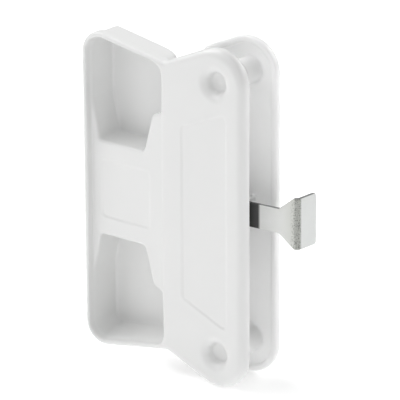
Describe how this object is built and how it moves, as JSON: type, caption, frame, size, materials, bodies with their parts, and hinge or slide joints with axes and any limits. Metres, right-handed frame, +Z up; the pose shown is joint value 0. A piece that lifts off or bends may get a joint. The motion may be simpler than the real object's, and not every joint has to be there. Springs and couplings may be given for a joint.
{
  "type": "sliding screen door latch",
  "caption": "Sliding screen-door latch and pull: moulded plates clamp the door stile, with a finger-pocket grip wing and a sprung, fan-ended latch arm on an upright pin.",
  "frame": {"origin": "midway between the centres of the plates' round ends, on the front plate's face that lies on the door", "axes": "+Z up along the plates, +X along the door towards the strike, +Y from the front plate into the door"},
  "size_m": [0.0726, 0.0279, 0.1068],
  "materials": {
    "white_plastic": "glossy moulded white",
    "plated_steel": "zinc plated",
    "spring_wire": "drawn wire",
    "fastener_steel": "zinc plated",
    "insert_brass": "turned"
  },
  "bodies": {
    "housing": {"front_pull_plate": "white_plastic", "rear_pull_plate": "white_plastic", "pivot_bracket": "plated_steel", "pivot_pin": "fastener_steel", "pin_clip": "fastener_steel", "arm_spacer": "fastener_steel", "torsion_spring": "spring_wire", "bracket_screw_upper": "fastener_steel", "bracket_screw_lower": "fastener_steel", "mounting_screw_upper": "fastener_steel", "mounting_screw_lower": "fastener_steel", "threaded_insert_upper": "insert_brass", "threaded_insert_lower": "insert_brass"},
    "latch": {"latch_arm": "plated_steel", "thumb_knob": "white_plastic"}
  },
  "joints": [
    {"name": "latch_swing", "type": "hinge", "parent": "housing", "child": "latch", "pos_m": [-0.006, 0.0068, 0], "axis": [0, 0, 1], "range_deg": [-20, 0], "stiffness_Nm_per_rad": 0.02, "springref_deg": 20.05, "deforming": ["torsion_spring"]}
  ]
}
